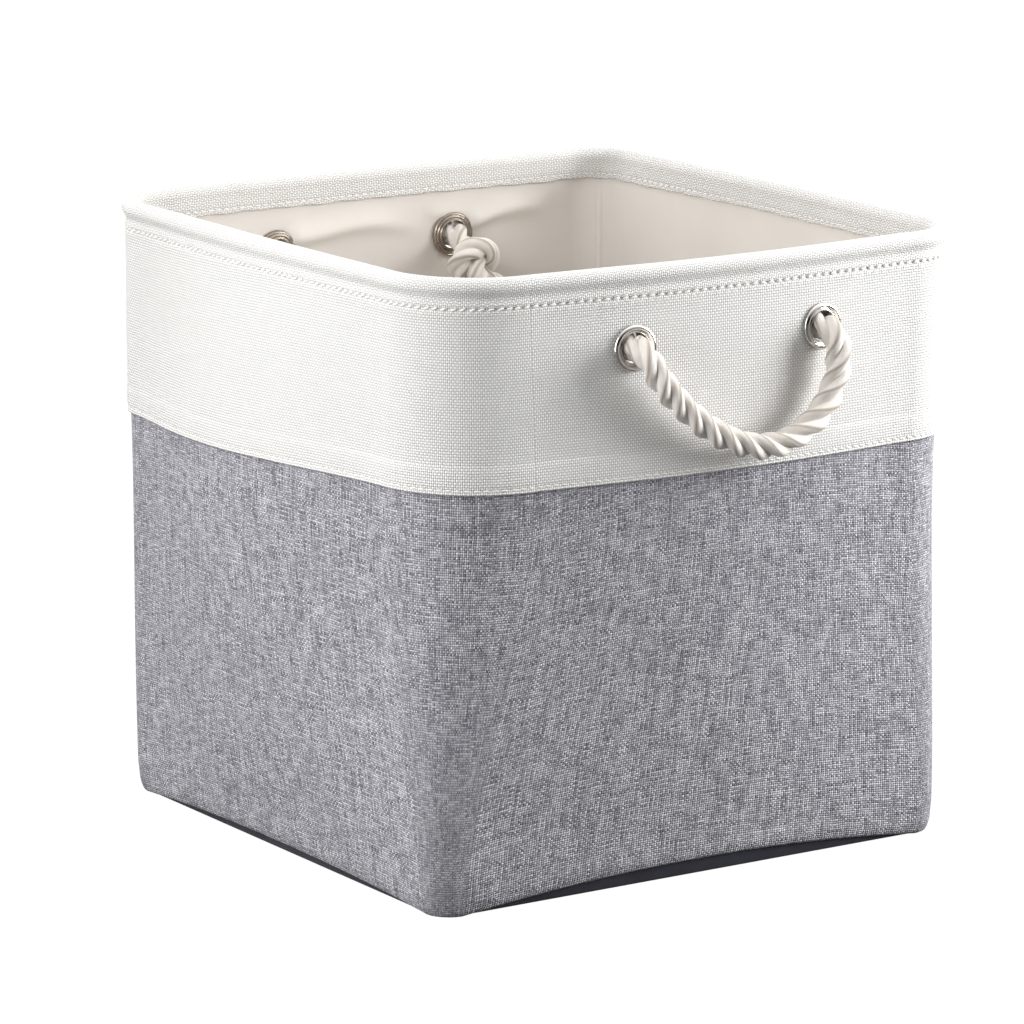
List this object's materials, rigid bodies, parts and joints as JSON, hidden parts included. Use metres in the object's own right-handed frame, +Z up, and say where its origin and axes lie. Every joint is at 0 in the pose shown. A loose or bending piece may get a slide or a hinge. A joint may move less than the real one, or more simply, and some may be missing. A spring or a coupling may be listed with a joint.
{
  "type": "fabric storage bin",
  "caption": "Square open-topped fabric storage bin with a wire rim, a cream canvas band over grey cloth, boarded walls, a cotton lining and rope handles on opposite sides.",
  "frame": {"origin": "centre of the base, on the surface the bin stands on", "axes": "+Z up, the handle walls face -Y (front) and +Y (back), the plain walls face -X and +X"},
  "size_m": [0.3486, 0.3895, 0.326],
  "materials": {
    "cream_canvas": "coarse matte basket weave",
    "grey_linen": "matte melange plain weave",
    "slate_cloth": "matte non-woven",
    "cream_lining": "smooth matte cotton",
    "grey_board": "matte pressed board",
    "steel_wire": "drawn wire",
    "nickel": "polished nickel plate",
    "dull_nickel": "darker nickel plate",
    "cotton_rope": "soft twisted cotton, matte"
  },
  "bodies": {
    "bin": {"grey_outer_wall": "grey_linen", "cream_upper_band": "cream_canvas", "outer_base": "slate_cloth", "rim_wire": "steel_wire", "wall_board_front": "grey_board", "wall_board_right": "grey_board", "wall_board_back": "grey_board", "wall_board_left": "grey_board", "lining_wall": "cream_lining", "lining_floor": "cream_lining", "eyelet_front_left": "nickel", "eyelet_front_right": "nickel", "eyelet_back_left": "nickel", "eyelet_back_right": "nickel", "washer_front_left": "dull_nickel", "washer_front_right": "dull_nickel", "washer_back_left": "dull_nickel", "washer_back_right": "dull_nickel"},
    "front_rope_ends": {"rope_knot_front_left": "cotton_rope", "rope_knot_front_right": "cotton_rope"},
    "front_handle": {"rope_loop_front": "cotton_rope"},
    "back_rope_ends": {"rope_knot_back_left": "cotton_rope", "rope_knot_back_right": "cotton_rope"},
    "back_handle": {"rope_loop_back": "cotton_rope"},
    "base_insert": {"base_board": "grey_board", "base_board_cover": "cream_lining"}
  },
  "joints": [
    {"name": "front_rope_pull", "type": "slide", "parent": "bin", "child": "front_rope_ends", "axis": [0, -1, 0], "range_m": [0, 0.003]},
    {"name": "front_handle_swing", "type": "hinge", "parent": "front_rope_ends", "child": "front_handle", "pos_m": [0.005, -0.1861, 0.285], "axis": [-1, 0, 0], "range_deg": [0, 175]},
    {"name": "back_rope_pull", "type": "slide", "parent": "bin", "child": "back_rope_ends", "axis": [0, 1, 0], "range_m": [0, 0.003]},
    {"name": "back_handle_swing", "type": "hinge", "parent": "back_rope_ends", "child": "back_handle", "pos_m": [0, 0.1844, 0.285], "axis": [1, 0, 0], "range_deg": [0, 175]},
    {"name": "base_board_lift", "type": "hinge", "parent": "bin", "child": "base_insert", "pos_m": [0, -0.144, 0.0021], "axis": [1, 0, 0], "range_deg": [0, 80]}
  ]
}
